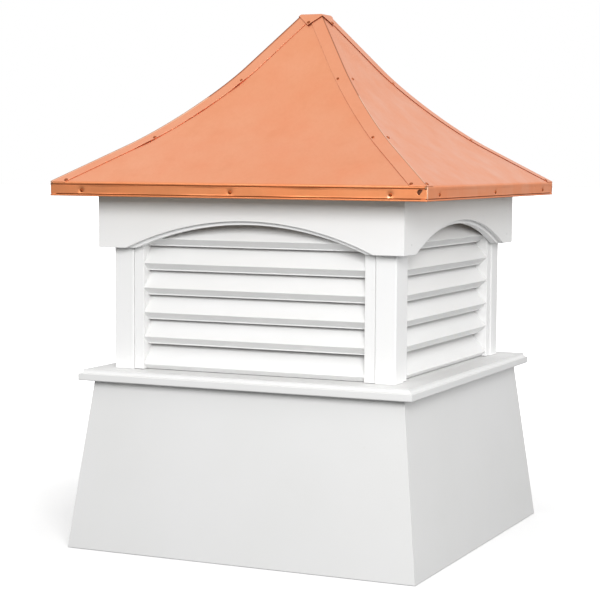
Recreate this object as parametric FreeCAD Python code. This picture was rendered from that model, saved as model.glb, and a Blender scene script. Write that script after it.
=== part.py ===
import FreeCAD, Part
import math
import os

# A square louvered cupola: a flared skirt that sits over a ridge, a sill, a louvered
# chamber with an arched frieze on each side, and a concave copper roof with hip strips.
# Millimetres, origin at the bottom centre, +Z up, the front face towards -Y.

# Flared base skirt
base_half_bottom = 330.0
base_half_top = 294.2
base_height = 298.6
base_panel_thickness = 12.7

# Sill boards on top of the skirt
sill_projection = 21.5
sill_thickness = 19.6
sill_ledge = 47.7
sill_inner_lap = 2.3
sill_cove_width = 6.6
sill_cove_height = 7.1
sill_cove_radius = 5.5
sill_cove_top_radius = 0.5
sill_bottom_radius = 2.0
sill_lip_radius = 1.0

# Corner posts
post_size = 38.0
post_edge_radius = 2.5

# Jamb strips that hold the louver ends
strip_width = 19.5
strip_setback = 2.5
strip_edge_radius = 0.8

# Louver blades, folded sheet with a sloped face and a return below the lip
louver_count = 6
louver_lowest_lip = 9.8
louver_lowest_pitch = 48.8
louver_pitch = 43.4
louver_slope_deg = 48.0
louver_rise = 38.0
louver_return_run = 14.0
louver_return_drop = 11.0
louver_hem = 2.0
louver_sheet = 2.5
louver_lip_radius = 1.0
louver_lip_setback = 0.5
louver_sill_gap = 0.6

# Arched frieze, a thin facing board on a backing board
frieze_bottom_above_sill = 215.8
frieze_backing_thickness = 12.7
frieze_facing_thickness = 8.3
arch_half_span = 233.5
arch_rise = 51.0
arch_reveal = 6.3

# Soffit boards under the eave
soffit_recess = 3.0
soffit_thickness = 18.0
soffit_inner_lap = 2.0

# Copper roof
eave_overhang = 60.2
fascia_bottom_above_sill = 306.7
fascia_height = 24.4
fascia_hem_height = 3.0
fascia_hem_projection = 0.8
copper_thickness = 1.0
roof_lower_slope_deg = 33.1
roof_upper_slope_deg = 51.8
roof_bend_inset = 188.9
roof_bend_radius = 650.0
roof_top_half = 18.5

# Hip rafters under the copper
rafter_width = 38.0
rafter_depth = 45.0
rafter_top_drop = 10.0

# Hip strips over the roof joints
hip_strip_leg = 22.8
hip_strip_thickness = 1.2

# Cap on the apex
cap_thickness = 1.0
cap_band = 2.4
cap_tab_length = 24.9

# Gap left where curved sheets lie on each other
lay_gap = 0.3

# Heights and widths that follow from the sizes above
sill_half = base_half_top + sill_projection
sill_top = base_height + sill_thickness
post_face_half = sill_half - sill_ledge
post_inner_half = post_face_half - post_size
sill_inner_half = post_inner_half - sill_inner_lap
strip_inner_half = post_inner_half - strip_width
strip_face_half = post_face_half - strip_setback
louver_lip_half = strip_face_half - louver_lip_setback
frieze_bottom = sill_top + frieze_bottom_above_sill
backing_face_half = post_face_half + frieze_backing_thickness
facing_face_half = backing_face_half + frieze_facing_thickness
eave_half = facing_face_half + eave_overhang
roof_bend_half = eave_half - roof_bend_inset
fascia_bottom = sill_top + fascia_bottom_above_sill
eave_top = fascia_bottom + fascia_height
soffit_bottom = fascia_bottom + soffit_recess
soffit_top = soffit_bottom + soffit_thickness
soffit_half = eave_half - copper_thickness - lay_gap
soffit_inner_half = post_inner_half - soffit_inner_lap
lower_slope = math.radians(roof_lower_slope_deg)
upper_slope = math.radians(roof_upper_slope_deg)
roof_bend_height = eave_top + (eave_half - roof_bend_half) * math.tan(lower_slope)
roof_top = roof_bend_height + (roof_bend_half - roof_top_half) * math.tan(upper_slope)
strip_lay = lay_gap + hip_strip_thickness
cap_tab_lay = strip_lay + lay_gap
cap_bottom = roof_top + lay_gap
cap_top = cap_bottom + cap_thickness
cap_spread = (cap_tab_lay + cap_thickness) / math.sin(upper_slope) - lay_gap / math.tan(upper_slope)
cap_half = roof_top_half + cap_spread
wide = 2.0 * base_half_bottom + 2.0 * eave_half

sides = {"front": 0, "right": 90, "back": 180, "left": 270}
corners = {"front_right": 0, "back_right": 90, "back_left": 180, "front_left": 270}


def turned(shape, degrees):
    """A copy of a front piece turned about the vertical axis onto another side."""
    copy = shape.copy()
    copy.rotate(FreeCAD.Vector(0, 0, 0), FreeCAD.Vector(0, 0, 1), degrees)
    return copy


def at_front(u, v):
    """A point of an outline that is drawn in the XZ plane."""
    return FreeCAD.Vector(u, 0, v)


def at_end(u, v):
    """A point of an outline drawn in the YZ plane, u measured outwards from the axis."""
    return FreeCAD.Vector(0, -u, v)


def in_plan(u, v):
    """A point of an outline drawn on the ground plane."""
    return FreeCAD.Vector(u, v, 0)


def outline(corner_list, place):
    """A closed face from corners (u, v, radius), each corner rounded by its radius."""
    count = len(corner_list)
    starts = []
    middles = []
    ends = []
    for index in range(count):
        u, v, radius = corner_list[index]
        here = FreeCAD.Vector(u, v, 0)
        before = FreeCAD.Vector(*corner_list[index - 1][:2], 0)
        after = FreeCAD.Vector(*corner_list[(index + 1) % count][:2], 0)
        back = (before - here).normalize()
        ahead = (after - here).normalize()
        half_angle = back.getAngle(ahead) / 2.0
        reach = radius / math.tan(half_angle)
        bisector = (back + ahead).normalize()
        centre = here + bisector * (radius / math.sin(half_angle))
        starts.append(here + back * reach)
        middles.append(centre - bisector * radius)
        ends.append(here + ahead * reach)
    edges = []
    for index in range(count):
        start = place(starts[index].x, starts[index].y)
        end = place(ends[index].x, ends[index].y)
        following = starts[(index + 1) % count]
        if corner_list[index][2] > 0:
            middle = place(middles[index].x, middles[index].y)
            edges.append(Part.Arc(start, middle, end).toShape())
        edges.append(Part.LineSegment(end, place(following.x, following.y)).toShape())
    return Part.Face(Part.Wire(edges))


def block(half, z_low, z_high):
    """A square block centred on the axis."""
    corner = FreeCAD.Vector(-half, -half, z_low)
    return Part.makeBox(2 * half, 2 * half, z_high - z_low, corner)


def side_wedge():
    """The quarter of space in front of the two mitre planes."""
    triangle = outline([(0, 0, 0), (-wide, -wide, 0), (wide, -wide, 0)], in_plan)
    return triangle.extrude(FreeCAD.Vector(0, 0, wide))


def front_corner():
    """The quarter of space around the front right corner."""
    return Part.makeBox(wide, wide, wide, FreeCAD.Vector(0, -wide, 0))


def base_panel():
    """One flared panel of the skirt, mitred at both ends."""
    def square_wire(half, z):
        points = [(-half, -half), (half, -half), (half, half), (-half, half), (-half, -half)]
        return Part.makePolygon([FreeCAD.Vector(x, y, z) for x, y in points])

    flare = math.atan2(base_half_bottom - base_half_top, base_height)
    level_thickness = base_panel_thickness / math.cos(flare)
    outer = Part.makeLoft([square_wire(base_half_bottom, 0),
                           square_wire(base_half_top, base_height)], True, True)
    inner = Part.makeLoft([square_wire(base_half_bottom - level_thickness, 0),
                           square_wire(base_half_top - level_thickness, base_height)], True, True)
    return outer.cut(inner).common(side_wedge())


def sill_board():
    """One mitred sill board with a cove along its upper outer edge."""
    section = outline([
        (sill_inner_half, base_height, 0),
        (sill_half, base_height, sill_bottom_radius),
        (sill_half, sill_top - sill_cove_height, sill_lip_radius),
        (sill_half - sill_cove_width, sill_top - sill_cove_height, sill_cove_radius),
        (sill_half - sill_cove_width, sill_top, sill_cove_top_radius),
        (sill_inner_half, sill_top, 0)], at_end)
    section.translate(FreeCAD.Vector(-sill_half, 0, 0))
    return section.extrude(FreeCAD.Vector(2 * sill_half, 0, 0)).common(side_wedge())


def corner_post():
    """A square post at the front right corner, its outer edge rounded."""
    section = outline([
        (post_inner_half, -post_inner_half, 0),
        (post_inner_half, -post_face_half, post_edge_radius),
        (post_face_half, -post_face_half, post_edge_radius),
        (post_face_half, -post_inner_half, post_edge_radius)], in_plan)
    section.translate(FreeCAD.Vector(0, 0, sill_top))
    return section.extrude(FreeCAD.Vector(0, 0, soffit_bottom - sill_top))


def jamb_strips():
    """The two upright strips of one side, one against each post."""
    section = outline([
        (strip_inner_half, -post_inner_half, 0),
        (strip_inner_half, -strip_face_half, strip_edge_radius),
        (post_inner_half, -strip_face_half, strip_edge_radius),
        (post_inner_half, -post_inner_half, 0)], in_plan)
    section.translate(FreeCAD.Vector(0, 0, sill_top))
    right_strip = section.extrude(FreeCAD.Vector(0, 0, soffit_bottom - sill_top))
    left_strip = right_strip.mirror(FreeCAD.Vector(0, 0, 0), FreeCAD.Vector(1, 0, 0))
    return Part.makeCompound([right_strip, left_strip])


def louver_section(lip_height):
    """The folded section of one blade: sloped face, rounded lip, return and hem."""
    slope = math.radians(louver_slope_deg)
    fall = math.atan2(louver_return_drop, louver_return_run)
    top_half = louver_lip_half - louver_rise / math.tan(slope)
    return_half = louver_lip_half - louver_return_run
    hem_top = lip_height - louver_return_drop
    # The inner skin is the outer one moved in by the sheet's thickness.
    half_turn = (slope + fall) / 2.0
    lip_inset = louver_sheet / math.sin(half_turn)
    lip_lean = (slope - fall) / 2.0
    inner_lip = (louver_lip_half - lip_inset * math.cos(lip_lean),
                 lip_height + lip_inset * math.sin(lip_lean))
    inner_return_half = return_half - louver_sheet
    inner_return_drop = (inner_lip[0] - inner_return_half) * math.tan(fall)
    top_height = lip_height + louver_rise
    return outline([
        (top_half, top_height, 0),
        (louver_lip_half, lip_height, louver_lip_radius),
        (return_half, hem_top, 0),
        (return_half, hem_top - louver_hem, 0),
        (inner_return_half, hem_top - louver_hem, 0),
        (inner_return_half, inner_lip[1] - inner_return_drop, 0),
        (inner_lip[0], inner_lip[1], 0),
        (top_half - louver_sheet * math.sin(slope), top_height - louver_sheet * math.cos(slope), 0)],
        at_end)


def louver_blades():
    """The blades of one side, evenly set above the lowest, which sits on the sill."""
    blades = []
    lip_height = sill_top + louver_lowest_lip
    pitch = louver_lowest_pitch
    room = block(wide, sill_top + louver_sill_gap, wide)
    for index in range(louver_count):
        section = louver_section(lip_height)
        section.translate(FreeCAD.Vector(-strip_inner_half, 0, 0))
        blade = section.extrude(FreeCAD.Vector(2 * strip_inner_half, 0, 0))
        blades.append(blade.common(room).Solids[0])
        lip_height += pitch
        pitch = louver_pitch
    return Part.makeCompound(blades)


def arched_board(face_half, thickness, reveal):
    """A mitred frieze board with an arch cut up into its lower edge."""
    radius = (arch_half_span ** 2 + arch_rise ** 2) / (2 * arch_rise)
    centre_height = frieze_bottom + arch_rise - radius
    arch_radius = radius - reveal
    board = Part.makeBox(2 * face_half, thickness, soffit_bottom - frieze_bottom,
                         FreeCAD.Vector(-face_half, -face_half, frieze_bottom))
    arch = Part.makeCylinder(arch_radius, 2 * thickness,
                             FreeCAD.Vector(0, -face_half - thickness / 2, centre_height),
                             FreeCAD.Vector(0, 1, 0))
    return board.cut(arch).common(side_wedge())


def soffit_board():
    """One mitred board that closes the underside of the eave."""
    ring = block(soffit_half, soffit_bottom, soffit_top)
    ring = ring.cut(block(soffit_inner_half, soffit_bottom - 1, soffit_top + 1))
    return ring.common(side_wedge())


def roof_section(offset, edge_half, z_low, z_high):
    """Half the roof's section as a list of edges, eave side, moved out by offset.

    The section is two straight slopes joined by a tangent arc that is hollow upwards.
    """
    lower_normal = (math.sin(lower_slope), math.cos(lower_slope))
    upper_normal = (math.sin(upper_slope), math.cos(upper_slope))
    # Where the two moved slopes meet.
    lower_level = (roof_bend_half * lower_normal[0] + roof_bend_height * lower_normal[1]) + offset
    upper_level = (roof_bend_half * upper_normal[0] + roof_bend_height * upper_normal[1]) + offset
    cross = lower_normal[0] * upper_normal[1] - lower_normal[1] * upper_normal[0]
    bend_half = (lower_level * upper_normal[1] - upper_level * lower_normal[1]) / cross
    bend_height = (lower_normal[0] * upper_level - upper_normal[0] * lower_level) / cross
    turn = upper_slope - lower_slope
    radius = roof_bend_radius - offset
    tangent = radius * math.tan(turn / 2)
    middle_slope = (lower_slope + upper_slope) / 2
    middle_rise = radius / math.cos(turn / 2) - radius
    lower_end = (bend_half + tangent * math.cos(lower_slope), bend_height - tangent * math.sin(lower_slope))
    upper_end = (bend_half - tangent * math.cos(upper_slope), bend_height + tangent * math.sin(upper_slope))
    middle = (bend_half + middle_rise * math.sin(middle_slope),
              bend_height + middle_rise * math.cos(middle_slope))
    edge_height = lower_end[1] - (edge_half - lower_end[0]) * math.tan(lower_slope)
    top_half = upper_end[0] - (z_high - upper_end[1]) / math.tan(upper_slope)
    return (edge_half, z_low), (edge_half, edge_height), lower_end, middle, upper_end, (top_half, z_high)


def roof_volume(offset, edge_half, z_low, z_high):
    """The space under the roof surface moved out by offset, cut at edge, bottom and top."""
    half = roof_section(offset, edge_half, z_low, z_high)
    right = [at_front(u, v) for u, v in half]
    left = [at_front(-u, v) for u, v in half]
    edges = [
        Part.LineSegment(right[0], right[1]),
        Part.LineSegment(right[1], right[2]),
        Part.Arc(right[2], right[3], right[4]),
        Part.LineSegment(right[4], right[5]),
        Part.LineSegment(right[5], left[5]),
        Part.LineSegment(left[5], left[4]),
        Part.Arc(left[4], left[3], left[2]),
        Part.LineSegment(left[2], left[1]),
        Part.LineSegment(left[1], left[0]),
        Part.LineSegment(left[0], right[0])]
    face = Part.Face(Part.Wire([edge.toShape() for edge in edges]))
    face.translate(FreeCAD.Vector(0, -edge_half, 0))
    along = face.extrude(FreeCAD.Vector(0, 2 * edge_half, 0))
    return along.common(turned(along, 90))


def roof_sheet():
    """One copper roof sheet, folded down at the eave into a hemmed fascia."""
    outer = roof_volume(0, eave_half, fascia_bottom, roof_top)
    inner = roof_volume(-copper_thickness, eave_half - copper_thickness, fascia_bottom - 1, roof_top + 1)
    hem = block(eave_half + fascia_hem_projection, fascia_bottom, fascia_bottom + fascia_hem_height)
    hem = hem.cut(block(eave_half - copper_thickness, 0, wide))
    return outer.cut(inner).fuse(hem).common(side_wedge()).removeSplitter()


def hip_rafter():
    """A rib under the front right hip, from the soffit boards to the apex."""
    top_offset = -copper_thickness - lay_gap
    outer = roof_volume(top_offset, soffit_half, soffit_top, roof_top - rafter_top_drop)
    inner = roof_volume(top_offset - rafter_depth, soffit_half - rafter_depth, soffit_top - 1, roof_top)
    rib = Part.makeBox(wide, rafter_width, wide, FreeCAD.Vector(0, -rafter_width / 2, 0))
    rib.rotate(FreeCAD.Vector(0, 0, 0), FreeCAD.Vector(0, 0, 1), -45)
    return outer.cut(inner).common(rib).common(front_corner())


def hip_strip():
    """A folded strip over the front right hip, one leg on each roof sheet."""
    def plan_half(slope):
        """Half the strip's width in plan where the roof has this slope."""
        hip_angle = math.atan(1.0 / math.cos(slope))
        return hip_strip_leg / math.sin(hip_angle) / math.sqrt(2)

    outer = roof_volume(strip_lay, eave_half, eave_top, roof_top)
    inner = roof_volume(lay_gap, eave_half + 1, eave_top - 1, roof_top + 1)
    top_half = plan_half(upper_slope)
    eave_end = eave_half * math.sqrt(2)
    eave_end_half = plan_half(lower_slope)
    band = outline([
        (0, -top_half, 0),
        (eave_end, -eave_end_half, 0),
        (eave_end, eave_end_half, 0),
        (0, top_half, 0)], in_plan)
    band = band.extrude(FreeCAD.Vector(0, 0, wide))
    band.rotate(FreeCAD.Vector(0, 0, 0), FreeCAD.Vector(0, 0, 1), -45)
    return outer.cut(inner).common(band).common(front_corner())


def roof_cap():
    """The square cap plate with a closed band and pointed tabs turned down on the roof."""
    plate = block(cap_half, cap_bottom, cap_top)
    tab_skin = roof_volume(cap_tab_lay + cap_thickness, eave_half, eave_top, cap_bottom)
    tab_skin = tab_skin.cut(roof_volume(cap_tab_lay, eave_half + 1, eave_top - 1, cap_bottom + 1))
    drop = cap_tab_length * math.sin(upper_slope)
    band_half = cap_half + cap_band / math.tan(upper_slope)
    pointed = outline([
        (-band_half, cap_bottom, 0),
        (band_half, cap_bottom, 0),
        (band_half, cap_bottom - cap_band, 0),
        (0, cap_bottom - drop, 0),
        (-band_half, cap_bottom - cap_band, 0)], at_front)
    pointed.translate(FreeCAD.Vector(0, -wide, 0))
    tab = pointed.extrude(FreeCAD.Vector(0, wide, 0)).common(tab_skin)
    for degrees in sides.values():
        plate = plate.fuse(turned(tab, degrees))
    return plate.removeSplitter()


def write(name, shape):
    """Write one node and say how many solids it holds."""
    print(name, len(shape.Solids), round(shape.Volume), shape.isValid())
    shape.exportStep("parts/" + name + ".step")


side_pieces = {
    "base_panel": base_panel(),
    "sill_board": sill_board(),
    "jamb_strips": jamb_strips(),
    "louver_blades": louver_blades(),
    "frieze_backing": arched_board(backing_face_half, frieze_backing_thickness, arch_reveal),
    "frieze_facing": arched_board(facing_face_half, frieze_facing_thickness, 0),
    "soffit_board": soffit_board(),
    "roof_sheet": roof_sheet()}

corner_pieces = {
    "corner_post": corner_post(),
    "hip_rafter": hip_rafter(),
    "hip_strip": hip_strip()}

os.makedirs("parts", exist_ok=True)
for piece, shape in side_pieces.items():
    for side, degrees in sides.items():
        write(piece + "_" + side, turned(shape, degrees))
for piece, shape in corner_pieces.items():
    for corner, degrees in corners.items():
        write(piece + "_" + corner, turned(shape, degrees))
write("roof_cap", roof_cap())
print("overall", round(2 * (eave_half + fascia_hem_projection), 1), "wide,", round(cap_top, 1), "high")
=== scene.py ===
# A square barn cupola: white skirt, sill, posts and louvers, arched friezes, hollow copper roof.
import bpy
import bmesh
import math
from mathutils import Matrix, Vector, noise


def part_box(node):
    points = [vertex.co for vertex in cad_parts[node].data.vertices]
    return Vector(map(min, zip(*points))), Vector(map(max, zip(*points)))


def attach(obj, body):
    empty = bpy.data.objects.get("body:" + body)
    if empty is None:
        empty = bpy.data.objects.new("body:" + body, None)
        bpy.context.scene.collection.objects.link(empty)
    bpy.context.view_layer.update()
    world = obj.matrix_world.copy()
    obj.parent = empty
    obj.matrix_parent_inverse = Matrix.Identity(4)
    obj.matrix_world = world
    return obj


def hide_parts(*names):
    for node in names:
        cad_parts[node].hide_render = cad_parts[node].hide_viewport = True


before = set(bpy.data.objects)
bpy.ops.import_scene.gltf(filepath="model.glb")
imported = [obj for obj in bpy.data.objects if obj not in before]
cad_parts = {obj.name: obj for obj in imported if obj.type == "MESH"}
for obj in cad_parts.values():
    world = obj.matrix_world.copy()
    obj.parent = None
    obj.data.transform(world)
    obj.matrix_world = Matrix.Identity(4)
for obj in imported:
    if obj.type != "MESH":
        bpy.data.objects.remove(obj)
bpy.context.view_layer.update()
print("frame loaded,", len(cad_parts), "nodes")

sideTurns = {"front": 0, "right": 90, "back": 180, "left": 270}
cornerTurns = {"front_right": 0, "back_right": 90, "back_left": 180, "front_left": 270}

# faces and levels that the frame gives
skirtLow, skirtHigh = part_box("base_panel_front")
sillLow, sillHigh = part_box("sill_board_front")
postLow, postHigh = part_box("corner_post_front_right")
stripLow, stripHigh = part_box("jamb_strips_front")
facingLow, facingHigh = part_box("frieze_facing_front")
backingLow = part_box("frieze_backing_front")[0]
soffitLow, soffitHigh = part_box("soffit_board_front")
sheetLow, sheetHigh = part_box("roof_sheet_front")
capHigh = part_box("roof_cap")[1]
sillTop = sillHigh.z
hemFace = -sheetLow.y
fasciaHeight = 0.0244
eaveTop = sheetLow.z + fasciaHeight
roofTop = sheetHigh.z

mergeDistance = 1e-6
mitreGap = 0.00005
longBoard = 1.0  # longer than any side, so that the mitres cut both ends


def alongFront(u, v):
    return Vector((0, -u, v))  # u out of the front face, v up


def inPlan(u, v):
    return Vector((u, -v, 0))  # u to the right, v out of the front face


def clamped(value):
    return max(0.0, min(1.0, value))


def everything(bm):
    return bm.verts[:] + bm.edges[:] + bm.faces[:]


def vertsOf(geom):
    return [v for v in geom if isinstance(v, bmesh.types.BMVert)]


def sectionFace(bm, corners, place, arcSteps=5):
    # a face from corners (u, v, radius), each corner rounded by its radius
    verts = [bm.verts.new(place(u, v)) for u, v, radius in corners]
    bm.faces.new(verts)
    flat = [Vector((u, v)) for u, v, radius in corners]
    for i, vert in enumerate(verts):
        radius = corners[i][2]
        if radius > 0:
            before = flat[i - 1] - flat[i]
            after = flat[(i + 1) % len(flat)] - flat[i]
            reach = radius / math.tan(before.angle(after) / 2)
            bmesh.ops.bevel(bm, geom=[vert], offset=reach, offset_type="OFFSET", segments=arcSteps,
                            profile=0.5, affect="VERTICES", material=-1)


def pushOut(bm, faces, vector):
    grown = bmesh.ops.extrude_face_region(bm, geom=faces)["geom"]
    bmesh.ops.translate(bm, verts=vertsOf(grown), vec=vector)


def cutOff(bm, point, normal, fill=True):
    # removes what lies beyond the plane
    cut = bmesh.ops.bisect_plane(bm, geom=everything(bm), dist=1e-7, plane_co=point, plane_no=normal,
                                 clear_outer=True)
    rim = [e for e in cut["geom_cut"] if isinstance(e, bmesh.types.BMEdge)]
    if fill and rim:
        bmesh.ops.edgeloop_fill(bm, edges=rim)


def mitre(bm, gap=mitreGap, fill=True):
    # keeps the quarter in front of the two diagonal planes
    for way in (1, -1):
        cutOff(bm, Vector((0, -gap * math.sqrt(2), 0)), Vector((way, 1, 0)).normalized(), fill)


def mitredBoard(bm, gap=mitreGap):
    # draws the section out past both corners and mitres its ends
    bmesh.ops.translate(bm, verts=bm.verts, vec=(-longBoard / 2, 0, 0))
    pushOut(bm, bm.faces[:], Vector((longBoard, 0, 0)))
    mitre(bm, gap)


def slices(bm, normal, distances):
    # adds rows of vertices where planes cross the mesh
    normal = Vector(normal)
    for distance in distances:
        bmesh.ops.bisect_plane(bm, geom=everything(bm), dist=mergeDistance, plane_co=normal * distance,
                               plane_no=normal)


def softenEdges(bm, width, steps=2, sharper=60):
    bmesh.ops.remove_doubles(bm, verts=bm.verts, dist=mergeDistance)
    bmesh.ops.recalc_face_normals(bm, faces=bm.faces)
    bm.normal_update()
    edges = [e for e in bm.edges
             if len(e.link_faces) == 2 and e.calc_face_angle(0) > math.radians(sharper)]
    bmesh.ops.bevel(bm, geom=edges, offset=width, offset_type="OFFSET", segments=steps, profile=0.5,
                    affect="EDGES", material=-1, clamp_overlap=True)


def roundFolds(bm, folds, reach, steps):
    bmesh.ops.bevel(bm, geom=folds, offset=reach, offset_type="OFFSET", segments=steps, profile=0.5,
                    affect="EDGES", material=-1)


def turnMesh(bm, degrees):
    bmesh.ops.rotate(bm, verts=bm.verts, cent=(0, 0, 0),
                     matrix=Matrix.Rotation(math.radians(degrees), 3, "Z"))


def mirrorAtHip(bm):
    # the same shape on the other side of the front right hip
    swap = Matrix(((0, -1, 0, 0), (-1, 0, 0, 0), (0, 0, 1, 0), (0, 0, 0, 1)))
    bmesh.ops.transform(bm, matrix=swap, verts=bm.verts)
    bmesh.ops.reverse_faces(bm, faces=bm.faces)


def appendMesh(bm, other):
    # puts one working mesh into another
    carrier = bpy.data.meshes.new("carrier")
    other.to_mesh(carrier)
    other.free()
    bm.from_mesh(carrier)
    bpy.data.meshes.remove(carrier)


def addPiece(name, bm, materials, nodes=(), wall=0.0, sharp=38):
    # a wall turns an open sheet into a solid one, with its cut edges in the second material
    bmesh.ops.remove_doubles(bm, verts=bm.verts, dist=mergeDistance)
    if wall == 0.0:
        bmesh.ops.recalc_face_normals(bm, faces=bm.faces)
    mesh = bpy.data.meshes.new(name)
    bm.to_mesh(mesh)
    bm.free()
    for material in materials:
        mesh.materials.append(material)
    mesh.shade_smooth()
    mesh.set_sharp_from_angle(angle=math.radians(sharp))
    piece = bpy.data.objects.new(name, mesh)
    bpy.context.scene.collection.objects.link(piece)
    if wall > 0.0:
        thickness = piece.modifiers.new("wall", "SOLIDIFY")
        thickness.thickness = wall
        thickness.offset = -1
        thickness.use_rim = True
        thickness.material_offset_rim = 1
    evenNormals = piece.modifiers.new("evenNormals", "WEIGHTED_NORMAL")
    evenNormals.keep_sharp = True
    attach(piece, "root")
    if nodes:
        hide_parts(*nodes)
    return piece


def addNode(tree, kind, inputs=None, **settings):
    made = tree.nodes.new("ShaderNode" + kind)
    for key, value in settings.items():
        setattr(made, key, value)
    for key, value in (inputs or {}).items():
        if isinstance(value, bpy.types.NodeSocket):
            tree.links.new(value, made.inputs[key])
        else:
            made.inputs[key].default_value = value
    return made


def newMaterial(name, **fixed):
    material = bpy.data.materials.new(name)
    material.use_nodes = True
    shader = material.node_tree.nodes["Principled BSDF"]
    for key, value in fixed.items():
        shader.inputs[key.replace("_", " ")].default_value = value
    return material, material.node_tree, shader


def objectPoint(tree, scale=(1, 1, 1)):
    place = addNode(tree, "TexCoord")
    return addNode(tree, "Mapping", {"Vector": place.outputs["Object"], "Scale": scale}).outputs["Vector"]


def cloud(tree, scale, detail=3.0, rough=0.5, stretch=(1, 1, 1)):
    return addNode(tree, "TexNoise", {"Vector": objectPoint(tree, stretch), "Scale": scale,
                                      "Detail": detail, "Roughness": rough}).outputs["Fac"]


def ranged(tree, value, fromLow, fromHigh, toLow, toHigh):
    return addNode(tree, "MapRange", {"Value": value, "From Min": fromLow, "From Max": fromHigh,
                                      "To Min": toLow, "To Max": toHigh}).outputs["Result"]


def blended(tree, amount, first, second, mode="MIX"):
    made = addNode(tree, "Mix", data_type="RGBA", blend_type=mode)
    for socket, value in ((made.inputs[0], amount), (made.inputs[6], first), (made.inputs[7], second)):
        if isinstance(value, bpy.types.NodeSocket):
            tree.links.new(value, socket)
        else:
            socket.default_value = value
    return made.outputs[2]


def combined(tree, first, second, operation="ADD"):
    return addNode(tree, "Math", {0: first, 1: second}, operation=operation).outputs[0]


def bumped(tree, shader, height, strength, distance):
    bump = addNode(tree, "Bump", {"Height": height, "Strength": strength, "Distance": distance})
    tree.links.new(bump.outputs["Normal"], shader.inputs["Normal"])


vinyl = {
    "soiled": (0.94, 0.94, 0.925, 1), "scuffed": (0.70, 0.69, 0.665, 1),
    "cloudScale": 3.2, "cloudRange": (0.38, 0.72, 0.0, 0.55),
    "speckScale": 130.0, "speckRange": (0.70, 0.80, 0.0, 0.35),
    "smearScale": 14.0, "smearRange": (0.3, 0.7, 0.36, 0.52),
    "peelScale": 850.0, "peelDepth": 0.00012, "peelStrength": 0.35,
    "lineScale": 2.0, "lineStretch": (1, 1, 210)}
vinylKinds = {  # colour, and how deep its drawn lines are
    "boardVinyl": ((0.89, 0.89, 0.888, 1), 0.25),
    # skirtVinyl is a darker copy of the board white: painted shade for the skirt, which gets less light than
    # the frieze
    "skirtVinyl": ((0.775, 0.775, 0.773, 1), 0.2),
    "sillVinyl": ((0.80, 0.80, 0.798, 1), 0.25),
    "louverVinyl": ((0.86, 0.861, 0.857, 1), 0.9),
    "fillerVinyl": ((0.74, 0.74, 0.73, 1), 0.0)}


def makeVinyl(name, clean, lineDepth):
    material, tree, shader = newMaterial(name, IOR=1.5)
    patches = ranged(tree, cloud(tree, vinyl["cloudScale"], 5.0, 0.55), *vinyl["cloudRange"])
    colour = blended(tree, patches, clean, blended(tree, 1.0, clean, vinyl["soiled"], "MULTIPLY"))
    specks = ranged(tree, cloud(tree, vinyl["speckScale"], 2.0, 0.6), *vinyl["speckRange"])
    colour = blended(tree, specks, colour, vinyl["scuffed"])
    tree.links.new(colour, shader.inputs["Base Color"])
    smears = ranged(tree, cloud(tree, vinyl["smearScale"], 4.0, 0.6), *vinyl["smearRange"])
    tree.links.new(smears, shader.inputs["Roughness"])
    peel = cloud(tree, vinyl["peelScale"], 2.0)
    lines = cloud(tree, vinyl["lineScale"], 2.0, 0.5, vinyl["lineStretch"])
    height = combined(tree, peel, combined(tree, lines, lineDepth, "MULTIPLY"))
    bumped(tree, shader, height, vinyl["peelStrength"], vinyl["peelDepth"])
    return material


copper = {
    "warm": (0.93, 0.385, 0.205, 1), "pale": (0.95, 0.425, 0.245, 1), "deep": (0.84, 0.315, 0.15, 1),
    # fascia: a tint painting the shade and reflection colour of the folded fascia band
    "fascia": (1.0, 0.86, 0.66, 1), "fasciaFade": (-0.001, 0.003),
    # the colours of painted shade and painted highlight
    "paintedShade": (0.26, 0.065, 0.016, 1), "bright": (1.0, 0.66, 0.46, 1),
    "mottleScale": 7.5, "mottleRange": (0.35, 0.68, 0.0, 0.8),
    "patchScale": 26.0, "patchRange": (0.52, 0.75, 0.0, 0.22),
    "rollScale": 3.0, "rollStretch": (60, 60, 2.0), "rollRange": (0.35, 0.7, 0.0, 0.16),
    "smearScale": 18.0, "smearRange": (0.3, 0.7, 0.34, 0.50), "shadeRough": 0.25, "highlightSmooth": 0.12,
    "grainScale": 420.0, "drawnScale": 6.0, "grainStrength": 0.3, "grainDepth": 0.00008,
    "coat": 0.10, "coatRough": 0.35}
copperTints = {
    "sheetCopper": (1, 1, 1, 1),
    "stripCopper": (1.0, 1.02, 1.06, 1),
    # painted shade: cut edges of sheets and strips are dark brown to draw the shade lines along them
    "edgeShadeCopper": (0.46, 0.28, 0.18, 1),
    "screwCopper": (0.55, 0.42, 0.32, 1)}


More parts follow.
